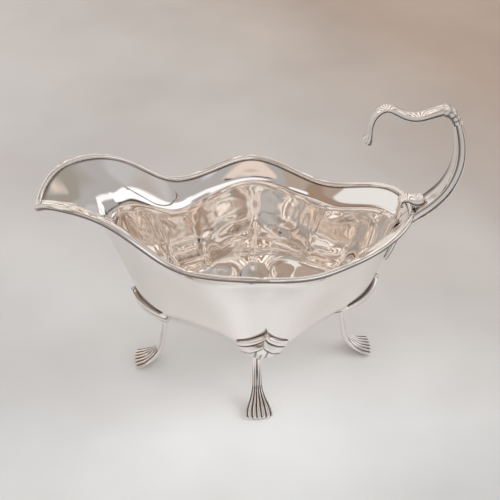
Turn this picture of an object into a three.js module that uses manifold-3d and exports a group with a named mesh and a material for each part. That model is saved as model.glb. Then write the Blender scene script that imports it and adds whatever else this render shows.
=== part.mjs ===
// Silver sauce boat on four legs, with a flying scroll handle.
// Millimetres, +Z up, standing on z = 0. The spout points to -X and the handle to +X.
import * as THREE from 'three';
import { mergeVertices } from 'three/addons/utils/BufferGeometryUtils.js';
import Module from 'manifold-3d';

const wasm = await Module();
wasm.setup();

// Driving sizes of the raised bowl
const WALL = 1.1;
const SOLDER_GAP = 0.3;
const BOWL_MIDDLE_X = 3;
const FLOOR_HEIGHT = 25;

// Plan of the bowl at four heights above its floor: reach to the front, to the back and to each side
// from BOWL_MIDDLE_X. A pinch of 0.17 makes a straight lozenge, less makes it rounder, and the corner
// value sharpens its four ridges.
const FLOOR = { front: 31, back: 28, side: 18, pinch: 0.06, corner: 0, rise: 0.4 };
const TURN = { front: 48.3, back: 35, side: 30, pinch: 0.228, corner: 0.015, rise: 7.5 };
const BASE = { front: 53.3, back: 49.7, side: 32.9, pinch: 0.128, corner: 0.019, rise: 14.2 };
const WALL_TOP = { front: 66, back: 60.5, side: 36.2, pinch: 0.1, corner: 0 };

// The wall is straight from its base edge up to its top: its rows in between, as shares of the way
const WALL_SHARES = [0.1, 0.5, 0.9];

// Rim from the spout tip to the handle: x, half width, height above the floor and drop to the wall top
const RIM = [
  [-92.1, 0, 71.4, 18.8],
  [-88.5, 8.4, 76.9, 22.5],
  [-79.6, 16.1, 81.2, 20],
  [-66, 22.3, 79.9, 19.8],
  [-50, 27.8, 70.1, 15.2],
  [-35, 31.5, 59.3, 11.4],
  [-17, 38, 58.6, 9],
  [3, 43.3, 60.7, 7.8],
  [20, 38.7, 56.5, 8.4],
  [37, 29.3, 53.7, 6.8],
  [54, 22.2, 57.5, 5.6],
  [65.2, 12.4, 60.9, 7.6],
  [69.2, 0, 60.7, 9.9],
];
const WIRE_RADIUS = 1.3;

// For each place of the rim: the direction in degrees of the wall below it, with the spout at 0 and the
// handle at a half turn, and the shares by which the flare's middle lies out and up towards the rim.
const HALF_TURN = 180;
const WALL_ANGLES = [0, 6, 12.5, 21, 32, 48, 71, 90, 107, 133, 155, 170, HALF_TURN];
const FLARE_OUT_SHARES = [0.13, 0.2, 0.33, 0.33, 0.36, 0.42, 0.45, 0.46, 0.45, 0.44, 0.44, 0.42, 0.42];
const FLARE_UP_SHARES = [0.52, 0.5, 0.5, 0.5, 0.46, 0.48, 0.48, 0.48, 0.48, 0.48, 0.48, 0.48, 0.48];

// The widest place of the rim and its back tip
const HALF_WIDTHS = RIM.map(([, halfWidth]) => halfWidth);
const SIDE_ROW = HALF_WIDTHS.indexOf(Math.max(...HALF_WIDTHS));
const BACK_ROW = RIM.length - 1;

// Legs: how far each ankle stands inside the ridge of the bowl's base edge, how far the side ones stand
// towards the spout from it, and how far each toe reaches out from its ankle
const FRONT_ANKLE_INSET = 8.7;
const BACK_ANKLE_INSET = 11.1;
const SIDE_ANKLE_INSET = 6.1;
const SIDE_ANKLE_SHIFT = 3.8;
const ANKLE_TO_TOE = 14.6;
const TOE_WIDTH = 13;
const TOE_MIDDLE_HEIGHT = 1.1;
const TOE_SCALLOP = 1.2;
const SHANK_WIDTH = 4.3;
const SHANK_DEPTH = 2.4;
const FOOT_RIBS = 6;
const RIB_DEPTH = 0.3;
const FOOT_EDGE = 0.3;

// A leg from the bowl down to the toe, as shares: of the way from ankle to toe, of the height up to
// LEG_HEIGHT, of the shank's depth, and of the spread from the shank's width to the toe's. Its first row
// runs on into the bowl, which cuts it off.
const LEG_HEIGHT = FLOOR_HEIGHT + 4;
const LEG_PROFILE = [
  [-0.014, 1.4, 1, 0],
  [0, 0.844, 1, 0],
  [0.034, 0.657, 1, 0],
  [0.103, 0.46, 1.15, 0.01],
  [0.233, 0.237, 1.5, 0.124],
  [0.466, 0.104, 1.75, 0.462],
  [0.699, 0.036, 1.41, 0.82],
  [1, 0, 1.08, 1],
];

// Knee plates: chevron lappets that wrap the bowl's four corner ridges, each with a tail as wide as the
// leg below it. Heights are above the floor of the bowl. Two raised bars cross each plate below its top
// edge, and below them it swells into the knee of its leg.
const PLATE_ARM = 11.2;
const PLATE_TOP = 23.6;
const PLATE_ARM_DROP = 9;
const PLATE_ARM_BOW = 0.62;
const PLATE_TAIL = 4;
const PLATE_TAIL_HALF_WIDTH = SHANK_WIDTH / 2;
const PLATE_TAIL_CURVE = 2;
const PLATE_TIP_HEIGHT = 3.5;
const PLATE_THICKNESS = 1.2;
const PLATE_BARS = 2;
const PLATE_BAR_HEIGHT = 3.4;
const PLATE_BAR_RELIEF = 1.4;
const SIDE_KNEE = 2.2;
const END_KNEE = 0.5;
const PLATE_SEAT = 0.1;

// Handle, in the plane y = 0. Places are measured from the back tip of the rim: along, up, depth, width.
const HANDLE_TAIL_LEVELS = [4.0, 4.5, 5.0, 5.6];
const HANDLE_TAIL_DEPTHS = [1.8, 3.0, 3.8, 4.8];
const HANDLE_TAIL_WIDTH = 5.2;
const HANDLE_SWEEP = [
  [7.8, 2.2, 6.3, 8.4],
  [11.2, 5.8, 6.0, 8.2],
  [14.2, 10.0, 5.8, 7.8],
  [16.6, 15.3, 5.6, 7.4],
  [18.1, 21.3, 5.5, 7.0],
  [18.5, 27.3, 5.4, 6.8],
  [17.8, 34.3, 5.0, 6.4],
  [16.4, 40.3, 4.5, 6.0],
  [15.2, 44.2, 4.2, 5.6],
];
const KNUCKLE = [
  [14.9, 43.0, 4.6, 5.8],
  [13.9, 45.9, 4.9, 6.2],
  [12.3, 48.1, 5.0, 6.2],
  [10.3, 49.4, 4.8, 5.8],
  [8.4, 49.6, 4.4, 5.2],
];
const KNUCKLE_RIBS = 4;
const KNUCKLE_RIB_DEPTH = 0.16;
const FLYING_SCROLL = [
  [9.6, 50.0, 4.0, 4.6],
  [6.8, 49.2, 3.8, 4.6],
  [3.4, 48.1, 3.4, 4.6],
  [-0.2, 47.1, 3.1, 4.6],
  [-4.3, 47.2, 3.0, 4.6],
  [-8.2, 48.7, 2.8, 4.5],
  [-11.8, 50.8, 2.5, 4.4],
  [-15.1, 51.8, 2.0, 4.4],
  [-18.4, 49.9, 2.0, 4.3],
  [-20.1, 46.9, 2.0, 4.2],
  [-20.8, 43.3, 2.0, 4.0],
  [-20.9, 39.4, 2.2, 4.0],
  [-21.6, 36.9, 4.2, 5.0],
  [-22.4, 35.4, 4.8, 5.4],
];
const RIM_LEAF = [
  [5.4, 5.2, 2.8, 5.4],
  [3.8, 4.0, 4.4, 5.6],
  [0.8, 4.0, 3.8, 5.6],
  [-1.6, 5.0, 2.4, 5.4],
  [-3.8, 5.0, 1.7, 5.2],
  [-5.1, 3.6, 1.5, 5.0],
  [-4.7, 2.0, 1.3, 4.6],
  [-3.4, 1.4, 1.1, 4.2],
];

// How finely the surfaces are divided
const COLUMNS = 72;
const WIRE_SIDES = 8;
const HANDLE_RINGS = 25;
const SCROLL_RINGS = 28;
const KNUCKLE_RINGS = 15;
const LEAF_RINGS = 14;
const LEG_RINGS = 17;
const FOOT_UNDER_STEPS = 6;
const PLATE_ARM_STEPS = [0.12, 0.32, 0.62, 1];
const PLATE_ROWS = 18;

// Levels up the bowl: its floor's centre is 0, its base edge 3, the top of its wall 5 and its rim 7.
// LEVEL_ROWS gives the row of a column at which each level lies.
const LEVEL_ROWS = [0, 1, 2, 3, 5, 7, 8, 9];
const BODY_LEVELS = [0.5, 1, 1.5, 1.8, 2.2, 2.6, 3, 3.5, 4.5, 4.8, 5.1, 5.4, 5.9, 6.5];
const BASE_LEVEL = 3;
const RIM_LEVEL = 7;

// Small steps, for directions along the rim, up the bowl and along a sweep
const RIM_NUDGE = 0.002;
const SWEEP_NUDGE = 0.05;

const SILVER = { color: 0xe6e3dd, roughness: 0.12, metalness: 1 };
const CAST_SILVER = { color: 0xdcd8d0, roughness: 0.18, metalness: 1 };

// Cubic spline through values at increasing places. With a period it closes on itself,
// and without one its ends are free, or its start is level.
function spline(places, values, { period = 0, levelStart = false } = {}) {
  const count = places.length;
  const step = (i) => (i === count - 1 ? places[0] + period : places[i + 1]) - places[i];
  const slope = (i) => (values[(i + 1) % count] - values[i]) / step(i);
  const bend = new Array(count).fill(0);
  const sweeps = 60;
  for (let sweep = 0; sweep < sweeps; sweep++) {
    for (let i = 0; i < count; i++) {
      const isEnd = !period && (i === 0 || i === count - 1);
      if (isEnd) {
        if (i === 0 && levelStart) bend[0] = (3 * slope(0)) / step(0) - bend[1] / 2;
        continue;
      }
      const before = (i + count - 1) % count;
      const after = (i + 1) % count;
      const pull = 6 * (slope(i) - slope(before)) - step(before) * bend[before] - step(i) * bend[after];
      bend[i] = pull / (2 * (step(before) + step(i)));
    }
  }
  return (place) => {
    const wrapped = period ? place - period * Math.floor((place - places[0]) / period) : place;
    let i = 0;
    const last = period ? count - 1 : count - 2;
    while (i < last && wrapped > places[i + 1]) i++;
    const h = step(i);
    const b = (wrapped - places[i]) / h;
    const a = 1 - b;
    const next = (i + 1) % count;
    const curve = ((a ** 3 - a) * bend[i] + (b ** 3 - b) * bend[next]) * (h * h) / 6;
    return a * values[i] + b * values[next] + curve;
  };
}

// Lengths along a chain of points, from its first point
function chordLengths(points) {
  const lengths = [0];
  for (let i = 1; i < points.length; i++) lengths.push(lengths[i - 1] + points[i].distanceTo(points[i - 1]));
  return lengths;
}

// The rim as a closed loop, with one turn of the boat as 0 to 1
function rimLoop() {
  const there = RIM.map(([x, y, rise, drop], i) => ({
    x, y, rise, drop, direction: WALL_ANGLES[i], out: FLARE_OUT_SHARES[i], up: FLARE_UP_SHARES[i],
  }));
  const mirror = (row) => ({ ...row, y: -row.y, direction: 2 * HALF_TURN - row.direction });
  const rows = [...there, ...there.slice(1, -1).reverse().map(mirror)];
  const points = rows.map(({ x, y, rise }) => new THREE.Vector3(x, y, FLOOR_HEIGHT + rise));
  const lengths = chordLengths([...points, points[0]]);
  const total = lengths.pop();
  const places = lengths.map((length) => length / total);
  const curve = (pick) => spline(places, rows.map(pick), { period: 1 });
  const lead = curve((row, i) => row.direction / HALF_TURN - 2 * places[i]);
  return {
    places,
    x: curve((row) => row.x),
    y: curve((row) => row.y),
    z: curve((row) => FLOOR_HEIGHT + row.rise),
    wallAngle: (place) => (2 * place + lead(place)) * Math.PI,
    drop: curve((row) => row.drop),
    out: curve((row) => row.out),
    up: curve((row) => row.up),
  };
}

const rim = rimLoop();

// The rim's middle line, and its direction
function rimPoint(place) {
  return new THREE.Vector3(rim.x(place), rim.y(place), rim.z(place));
}

function rimTangent(place) {
  return rimPoint(place + RIM_NUDGE).sub(rimPoint(place - RIM_NUDGE)).normalize();
}

const FRONT_PLACE = 0;
const SIDE_PLACE = rim.places[SIDE_ROW];
const BACK_PLACE = rim.places[BACK_ROW];

// A point of the bowl's plan at one height
function planPoint(plan, angle, height) {
  const reach = (plan.front + plan.back) / 2 + ((plan.front - plan.back) / 2) * Math.cos(angle);
  const { side, pinch, corner } = plan;
  const radius = (1 + pinch * Math.cos(4 * angle) + corner * Math.cos(8 * angle)) / (1 + pinch + corner);
  const x = BOWL_MIDDLE_X - reach * radius * Math.cos(angle);
  return new THREE.Vector3(x, side * radius * Math.sin(angle), height);
}

// One column of the bowl's middle skin, from the floor's centre to the rim
const columns = new Map();
function bowlColumn(place) {
  const key = place.toFixed(6);
  if (columns.has(key)) return columns.get(key);
  const angle = rim.wallAngle(place);
  const edge = rimPoint(place);
  const wallTop = planPoint(WALL_TOP, angle, edge.z - rim.drop(place));
  const flare = new THREE.Vector3(
    THREE.MathUtils.lerp(wallTop.x, edge.x, rim.out(place)),
    THREE.MathUtils.lerp(wallTop.y, edge.y, rim.out(place)),
    THREE.MathUtils.lerp(wallTop.z, edge.z, rim.up(place)),
  );
  const corner = (plan) => planPoint(plan, angle, FLOOR_HEIGHT + plan.rise);
  const [floor, turn, base] = [FLOOR, TURN, BASE].map(corner);
  const wall = WALL_SHARES.map((share) => base.clone().lerp(wallTop, share));
  const middle = new THREE.Vector3(BOWL_MIDDLE_X, 0, FLOOR_HEIGHT);
  const points = [middle, floor, turn, base, ...wall, wallTop, flare, edge];
  const lengths = chordLengths(points);
  const marks = LEVEL_ROWS.map((row) => lengths[row]);
  const x = spline(lengths, points.map((p) => p.x));
  const y = spline(lengths, points.map((p) => p.y));
  const z = spline(lengths, points.map((p) => p.z), { levelStart: true });
  const lengthAt = (level) => {
    const i = Math.min(Math.floor(level), RIM_LEVEL - 1);
    return marks[i] + (level - i) * (marks[i + 1] - marks[i]);
  };
  const point = (level) => new THREE.Vector3(x(lengthAt(level)), y(lengthAt(level)), z(lengthAt(level)));
  const climb = point(RIM_LEVEL).sub(point(RIM_LEVEL - 0.1));
  const slant = climb.normalize().cross(rimTangent(place)).length();
  const lastLength = marks[RIM_LEVEL] - marks[RIM_LEVEL - 1];
  const column = { point, edgeLevel: (distance) => RIM_LEVEL - distance / (lastLength * slant) };
  columns.set(key, column);
  return column;
}

// A point beside the bowl's middle skin: a positive offset lies outside the bowl, a negative one inside
function skinPoint(place, level, offset) {
  const column = bowlColumn(place);
  const [before, after] = [bowlColumn(place - RIM_NUDGE), bowlColumn(place + RIM_NUDGE)];
  const along = after.point(level).sub(before.point(level));
  const up = column.point(level + RIM_NUDGE).sub(column.point(level - RIM_NUDGE));
  const normal = level === 0 ? new THREE.Vector3(0, 0, -1) : up.cross(along).normalize();
  return column.point(level).addScaledVector(normal, offset);
}

// The level at which a column of the bowl reaches a height
function levelAtHeight(place, height) {
  let low = 1;
  let high = RIM_LEVEL;
  const halvings = 30;
  for (let i = 0; i < halvings; i++) {
    const middle = (low + high) / 2;
    if (bowlColumn(place).point(middle).z < height) low = middle;
    else high = middle;
  }
  return (low + high) / 2;
}

// A closed geometry from points and triangles, turned so that its faces point out
function closedGeometry(points, faces) {
  const volume = faces.reduce((sum, [a, b, c]) => {
    const normal = points[b].clone().cross(points[c]);
    return sum + points[a].dot(normal) / 6;
  }, 0);
  const turned = volume < 0 ? faces.map(([a, b, c]) => [a, c, b]) : faces;
  const geometry = new THREE.BufferGeometry();
  geometry.setAttribute('position', new THREE.Float32BufferAttribute(points.flatMap((p) => p.toArray()), 3));
  geometry.setIndex(turned.flat());
  geometry.computeVertexNormals();
  return geometry;
}

// The triangles between two rows of points
function strip(first, second, count, closed) {
  const faces = [];
  const last = closed ? count : count - 1;
  for (let i = 0; i < last; i++) {
    const j = (i + 1) % count;
    faces.push([first + i, second + i, second + j], [first + i, second + j, first + j]);
  }
  return faces;
}

// A solid through rings of points: a tube with flat ends, or a closed ring when looped
function loft(rings, looped = false) {
  const count = rings[0].length;
  const points = rings.flat();
  const faces = [];
  for (let r = 0; r + 1 < rings.length; r++) faces.push(...strip(r * count, (r + 1) * count, count, true));
  if (looped) {
    faces.push(...strip((rings.length - 1) * count, 0, count, true));
    return closedGeometry(points, faces);
  }
  const cap = (start, forward) => {
    const ring = points.slice(start, start + count);
    const centre = ring.reduce((sum, p) => sum.add(p), new THREE.Vector3()).divideScalar(count);
    const hub = points.push(centre) - 1;
    for (let i = 0; i < count; i++) {
      const j = (i + 1) % count;
      faces.push(forward ? [hub, start + i, start + j] : [hub, start + j, start + i]);
    }
  };
  cap(0, true);
  cap((rings.length - 1) * count, false);
  return closedGeometry(points, faces);
}

// A solid as a cutting body, and back
function toSolid(geometry) {
  const bare = new THREE.BufferGeometry();
  bare.setAttribute('position', geometry.getAttribute('position').clone());
  bare.setIndex(geometry.index);
  const merged = mergeVertices(bare, 1e-5);
  return new wasm.Manifold(new wasm.Mesh({
    numProp: 3,
    vertProperties: new Float32Array(merged.getAttribute('position').array),
    triVerts: new Uint32Array(merged.index.array),
  }));
}

// The largest body of a cut solid, as a geometry
function fromSolid(solid) {
  const bodies = solid.decompose().sort((a, b) => b.volume() - a.volume());
  const mesh = bodies[0].getMesh();
  const geometry = new THREE.BufferGeometry();
  geometry.setAttribute('position', new THREE.Float32BufferAttribute(mesh.vertProperties, 3));
  geometry.setIndex(Array.from(mesh.triVerts));
  geometry.computeVertexNormals();
  return geometry;
}

// The bowl with its spout, one raised sheet that ends just short of the rim wire
function bodyGeometry() {
  const points = [];
  const faces = [];
  const edgeDistance = WIRE_RADIUS + SOLDER_GAP;
  const rowSpacing = 0.01;
  const addSkin = (offset) => {
    const pole = points.push(skinPoint(0, 0, offset)) - 1;
    const rows = [...BODY_LEVELS, RIM_LEVEL];
    const starts = rows.map((level) => {
      const start = points.length;
      for (let i = 0; i < COLUMNS; i++) {
        const place = i / COLUMNS;
        const end = bowlColumn(place).edgeLevel(edgeDistance);
        points.push(skinPoint(place, Math.min(level, end - (RIM_LEVEL - level) * rowSpacing), offset));
      }
      return start;
    });
    return { pole, starts };
  };
  const outer = addSkin(WALL / 2);
  const inner = addSkin(-WALL / 2);
  for (const { pole, starts, turned } of [outer, { ...inner, turned: true }]) {
    const skin = [];
    for (let i = 0; i < COLUMNS; i++) skin.push([pole, starts[0] + i, starts[0] + ((i + 1) % COLUMNS)]);
    for (let r = 0; r + 1 < starts.length; r++) skin.push(...strip(starts[r], starts[r + 1], COLUMNS, true));
    faces.push(...skin.map(([a, b, c]) => (turned ? [a, c, b] : [a, b, c])));
  }
  faces.push(...strip(outer.starts.at(-1), inner.starts.at(-1), COLUMNS, true));
  return closedGeometry(points, faces);
}

// The round wire on the rim, thickened by a clearance when it cuts its neighbours
function wireGeometry(extra = 0) {
  const rings = [];
  for (let i = 0; i < COLUMNS; i++) {
    const place = i / COLUMNS;
    const tangent = rimTangent(place);
    const side = new THREE.Vector3(0, 0, 1).cross(tangent).normalize();
    const up = tangent.clone().cross(side);
    rings.push(Array.from({ length: WIRE_SIDES }, (_, j) => {
      const turn = (2 * Math.PI * (j + 0.5)) / WIRE_SIDES;
      return rimPoint(place)
        .addScaledVector(side, (WIRE_RADIUS + extra) * Math.cos(turn))
        .addScaledVector(up, (WIRE_RADIUS + extra) * Math.sin(turn));
    }));
  }
  return loft(rings, true);
}

// What the pieces soldered to the bowl must stay clear of: the filled bowl, its edge and its wire
function bowlClearance() {
  const offset = WALL / 2 + SOLDER_GAP;
  const innermost = 0.3;
  const rings = [];
  for (const level of [innermost, ...BODY_LEVELS.slice(1), RIM_LEVEL]) {
    rings.push(Array.from({ length: COLUMNS }, (_, i) => skinPoint(i / COLUMNS, level, offset)));
  }
  return toSolid(loft(rings)).add(toSolid(wireGeometry(SOLDER_GAP)));
}

// A fluted cast section, from its inner face round its side: in the plane of the handle, then across
const FLUTED_QUARTER = [[1, 0], [0.9, 0.62], [0.66, 1], [0.34, 0.88], [0, 0.82]];
function flutedSection() {
  const half = [...FLUTED_QUARTER, ...FLUTED_QUARTER.slice(0, -1).reverse().map(([p, q]) => [-p, q])];
  return [...half, ...half.slice(1, -1).reverse().map(([p, q]) => [p, -q])];
}

// A solid swept along a curve in the plane y = 0. Each station is x, z, depth in the plane and width across.
function sweep(stations, section, ringCount, shape = () => 1) {
  const middle = stations.map(([x, z]) => new THREE.Vector3(x, 0, z));
  const lengths = chordLengths(middle);
  const curve = (k) => spline(lengths, stations.map((station) => station[k]));
  const [x, z, depth, width] = [0, 1, 2, 3].map(curve);
  const total = lengths.at(-1);
  const rings = [];
  for (let r = 0; r < ringCount; r++) {
    const share = r / (ringCount - 1);
    const at = total * share;
    const ahead = Math.min(at + SWEEP_NUDGE, total);
    const behind = Math.max(at - SWEEP_NUDGE, 0);
    const tangent = new THREE.Vector2(x(ahead) - x(behind), z(ahead) - z(behind)).normalize();
    const swell = shape(share);
    rings.push(section.map(([p, q]) => new THREE.Vector3(
      x(at) - (tangent.y * p * depth(at) * swell) / 2,
      (q * width(at) * swell) / 2,
      z(at) + (tangent.x * p * depth(at) * swell) / 2,
    )));
  }
  return loft(rings);
}

// Stations of a sweep grown by the solder gap all round, to cut a seat for it in a neighbour
function grown(stations) {
  const longer = (end, next) => {
    const stretch = SOLDER_GAP / Math.hypot(end[0] - next[0], end[1] - next[1]);
    return [end[0] + (end[0] - next[0]) * stretch, end[1] + (end[1] - next[1]) * stretch, end[2], end[3]];
  };
  const moved = [...stations];
  moved[0] = longer(stations[0], stations[1]);
  moved[stations.length - 1] = longer(stations.at(-1), stations.at(-2));
  return moved.map(([x, z, depth, width]) => [x, z, depth + 2 * SOLDER_GAP, width + 2 * SOLDER_GAP]);
}

const backTip = rimPoint(BACK_PLACE);
function fromBackTip(rows) {
  return rows.map(([along, up, ...rest]) => [backTip.x + along, backTip.z + up, ...rest]);
}

// The stations of the handle's stem: its tail lies down the back of the bowl, a little of its depth
// inside the surface so that it is cut to fit, and then it sweeps up from the rim
function stemStations() {
  const standOff = 0.4;
  const tail = HANDLE_TAIL_LEVELS.map((level, i) => {
    const depth = HANDLE_TAIL_DEPTHS[i];
    const point = skinPoint(BACK_PLACE, level, WALL / 2 + depth * standOff);
    return [point.x, point.z, depth, HANDLE_TAIL_WIDTH];
  });
  return [...tail, ...fromBackTip(HANDLE_SWEEP)];
}

function handleStem(clearance) {
  return fromSolid(toSolid(sweep(stemStations(), flutedSection(), HANDLE_RINGS)).subtract(clearance));
}

// The ribbed leaf that joins the stem to the flying scroll
function handleKnuckle() {
  const rib = (share) => Math.sqrt(Math.abs(Math.sin(Math.PI * KNUCKLE_RIBS * share)));
  const grooves = (share) => 1 - KNUCKLE_RIB_DEPTH * (1 - rib(share));
  const knuckle = toSolid(sweep(fromBackTip(KNUCKLE), flutedSection(), KNUCKLE_RINGS, grooves));
  const stemSeat = toSolid(sweep(grown(stemStations()), flutedSection(), HANDLE_RINGS));
  const scrollSeat = toSolid(sweep(grown(fromBackTip(FLYING_SCROLL)), flutedSection(), SCROLL_RINGS));
  return fromSolid(knuckle.subtract(stemSeat).subtract(scrollSeat));
}

// The flying scroll over the bowl, which ends in a small drop
function handleScroll() {
  return sweep(fromBackTip(FLYING_SCROLL), flutedSection(), SCROLL_RINGS);
}

// The small leaf that runs from the stem over the rim and curls inside it
function rimLeaf(clearance) {
  const leaf = toSolid(sweep(fromBackTip(RIM_LEAF), flutedSection(), LEAF_RINGS));
  const stemSeat = toSolid(sweep(grown(stemStations()), flutedSection(), HANDLE_RINGS));
  return fromSolid(leaf.subtract(stemSeat).subtract(clearance));
}

// A section of the foot: ribs across its top, smooth below. Depth first, then across.
function footSection(ribbing) {
  const points = [];
  const steps = 2 * FOOT_RIBS;
  for (let j = 0; j <= steps; j++) {
    const across = -1 + (2 * j) / steps;
    const isGroove = j % 2 === 1;
    const crown = FOOT_EDGE + (1 - FOOT_EDGE) * Math.sqrt(1 - across * across);
    points.push([crown * (isGroove ? 1 - ribbing : 1), across]);
  }
  for (let j = 1; j < FOOT_UNDER_STEPS; j++) {
    const across = 1 - (2 * j) / FOOT_UNDER_STEPS;
    points.push([-Math.sqrt(1 - across * across), across]);
  }
  return points;
}

// One leg in the plane y = 0, with its ankle at x = 0 and its toe towards +X.
// It is thicker by a clearance when it cuts its neighbour.
function legGeometry(extra) {
  const { lerp, smoothstep } = THREE.MathUtils;
  const x = LEG_PROFILE.map(([along]) => ANKLE_TO_TOE * along);
  const z = LEG_PROFILE.map(([, up]) => lerp(TOE_MIDDLE_HEIGHT, LEG_HEIGHT, up));
  const depths = LEG_PROFILE.map(([, , thickness]) => thickness * SHANK_DEPTH + 2 * extra);
  const widths = LEG_PROFILE.map(([, , , spread]) => lerp(SHANK_WIDTH, TOE_WIDTH, spread) + 2 * extra);
  const lengths = chordLengths(x.map((along, i) => new THREE.Vector3(along, 0, z[i])));
  const [xAt, zAt, depthAt, widthAt] = [x, z, depths, widths].map((values) => spline(lengths, values));
  const rings = [];
  for (let r = 0; r < LEG_RINGS; r++) {
    const share = r / (LEG_RINGS - 1);
    const at = lengths.at(-1) * share;
    const [ahead, behind] = [at + SWEEP_NUDGE, at - SWEEP_NUDGE];
    const tangent = new THREE.Vector2(xAt(ahead) - xAt(behind), zAt(ahead) - zAt(behind)).normalize();
    const ribbing = RIB_DEPTH * smoothstep(share, 0.35, 0.85);
    const scallop = r === LEG_RINGS - 1 ? TOE_SCALLOP : 0;
    rings.push(footSection(ribbing).map(([p, q]) => {
      const forward = scallop * (1 - q * q);
      const raised = (p * depthAt(at)) / 2;
      return new THREE.Vector3(
        xAt(at) - tangent.y * raised + forward * tangent.x,
        (q * widthAt(at)) / 2,
        zAt(at) + tangent.x * raised + forward * tangent.y,
      );
    }));
  }
  return loft(rings);
}

// A leg turned to its direction, with its ankle inside the ridge of the base
function placedLeg({ ridge, direction, inset, shift = 0 }, extra = 0) {
  const edge = bowlColumn(ridge).point(BASE_LEVEL);
  const leg = legGeometry(extra);
  leg.rotateZ(direction);
  leg.translate(edge.x - inset * Math.cos(direction) - shift, edge.y - inset * Math.sin(direction), 0);
  return toSolid(leg);
}

// The room for a leg in its knee plate: open towards the middle of the bowl, so that the plate ends
// at the leg
function legSlot(stand) {
  const steps = [1, 2, 3].map((step) => ({ ...stand, inset: stand.inset + step * SHANK_DEPTH }));
  return steps.reduce((slot, moved) => slot.add(placedLeg(moved, SOLDER_GAP)), placedLeg(stand, SOLDER_GAP));
}

// The same leg cut flat on the table and to the bowl above it
function fittedLeg(stand, clearance) {
  return fromSolid(placedLeg(stand).trimByPlane([0, 0, 1], 0).subtract(clearance));
}

// The edges of a knee plate above the bowl's floor, at a distance from the ridge
function plateEdges(distance) {
  const tip = PLATE_TOP - PLATE_ARM_DROP - PLATE_TIP_HEIGHT;
  const alongArm = Math.max(0, (distance - PLATE_TAIL_HALF_WIDTH) / (PLATE_ARM - PLATE_TAIL_HALF_WIDTH));
  return {
    top: PLATE_TOP - PLATE_ARM_DROP * (distance / PLATE_ARM) ** PLATE_ARM_BOW,
    bottom: PLATE_TAIL + (tip - PLATE_TAIL) * alongArm ** PLATE_TAIL_CURVE,
  };
}

// Distances from the ridge at which a knee plate is divided
function plateDistances() {
  const arm = PLATE_ARM_STEPS.map((share) => THREE.MathUtils.lerp(PLATE_TAIL_HALF_WIDTH, PLATE_ARM, share));
  const half = [PLATE_TAIL_HALF_WIDTH / 2, PLATE_TAIL_HALF_WIDTH, ...arm];
  return [...half.map((distance) => -distance).reverse(), 0, ...half];
}

// How far a knee plate stands out from its seat: two round bars below its top edge, then the knee
function plateRelief(away, below, knee) {
  const thinning = 0.4;
  const barFade = 0.6;
  const bar = below < PLATE_BARS ? Math.abs(Math.sin(Math.PI * below)) ** barFade : 0;
  const lower = knee * THREE.MathUtils.smoothstep(below, PLATE_BARS - 0.8, PLATE_BARS + 0.3);
  return (PLATE_THICKNESS + lower) * (1 - thinning * away) + PLATE_BAR_RELIEF * bar * (1 - barFade * away);
}

// A knee plate on the ridge above a leg, cut to the bowl and to that leg
function kneePlate(stand, clearance) {
  const ridgeStep = bowlColumn(stand.ridge + RIM_NUDGE).point(BASE_LEVEL)
    .distanceTo(bowlColumn(stand.ridge - RIM_NUDGE).point(BASE_LEVEL));
  const placePerLength = (2 * RIM_NUDGE) / ridgeStep;
  const seat = WALL / 2 + SOLDER_GAP + PLATE_SEAT;
  const rings = plateDistances().map((distance) => {
    const away = Math.abs(distance) / PLATE_ARM;
    const { top, bottom } = plateEdges(Math.abs(distance));
    const inner = [];
    const outer = [];
    for (let j = 0; j <= PLATE_ROWS; j++) {
      const height = bottom + ((top - bottom) * j) / PLATE_ROWS;
      const lean = ((stand.lean ?? 0) * (PLATE_TOP - height)) / (PLATE_TOP - PLATE_TAIL);
      const column = stand.ridge + (distance + lean) * placePerLength;
      const level = levelAtHeight(column, FLOOR_HEIGHT + height);
      const relief = plateRelief(away, (top - height) / PLATE_BAR_HEIGHT, stand.knee);
      inner.push(skinPoint(column, level, seat));
      outer.push(skinPoint(column, level, seat + relief));
    }
    return [...outer, ...inner.reverse()];
  });
  return fromSolid(toSolid(loft(rings)).subtract(clearance).subtract(legSlot(stand)));
}

// The four legs: the ridge of the bowl above each, its direction from the middle and its ankle's inset.
// The side plates lean towards the spout, because their legs stand that way from the ridge.
const SIDE_STAND = { inset: SIDE_ANKLE_INSET, shift: SIDE_ANKLE_SHIFT, knee: SIDE_KNEE };
const STANDS = {
  front: { ridge: FRONT_PLACE, direction: Math.PI, inset: FRONT_ANKLE_INSET, knee: END_KNEE },
  back: { ridge: BACK_PLACE, direction: 0, inset: BACK_ANKLE_INSET, knee: END_KNEE },
  left: { ridge: SIDE_PLACE, direction: Math.PI / 2, lean: -SIDE_ANKLE_SHIFT, ...SIDE_STAND },
  right: { ridge: 1 - SIDE_PLACE, direction: -Math.PI / 2, lean: SIDE_ANKLE_SHIFT, ...SIDE_STAND },
};

const boat = new THREE.Group();

function addPiece(name, geometry, finish) {
  const piece = new THREE.Mesh(geometry, new THREE.MeshStandardMaterial(finish));
  piece.name = name;
  boat.add(piece);
}

const clearance = bowlClearance();

addPiece('body', bodyGeometry(), SILVER);
addPiece('rim_wire', wireGeometry(), SILVER);
for (const [side, stand] of Object.entries(STANDS)) {
  addPiece(`leg_${side}`, fittedLeg(stand, clearance), CAST_SILVER);
  addPiece(`knee_plate_${side}`, kneePlate(stand, clearance), CAST_SILVER);
}
addPiece('handle_stem', handleStem(clearance), CAST_SILVER);
addPiece('handle_knuckle', handleKnuckle(), CAST_SILVER);
addPiece('handle_flying_scroll', handleScroll(), CAST_SILVER);
addPiece('rim_leaf', rimLeaf(clearance), CAST_SILVER);

// The middle of the boat's box stands over the origin, on z = 0
const box = new THREE.Box3().setFromObject(boat);
boat.position.set(-(box.min.x + box.max.x) / 2, -(box.min.y + box.max.y) / 2, -box.min.z);
boat.updateMatrixWorld(true);

const group = new THREE.Group();
group.add(boat);

export default group;
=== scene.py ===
import math

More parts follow.
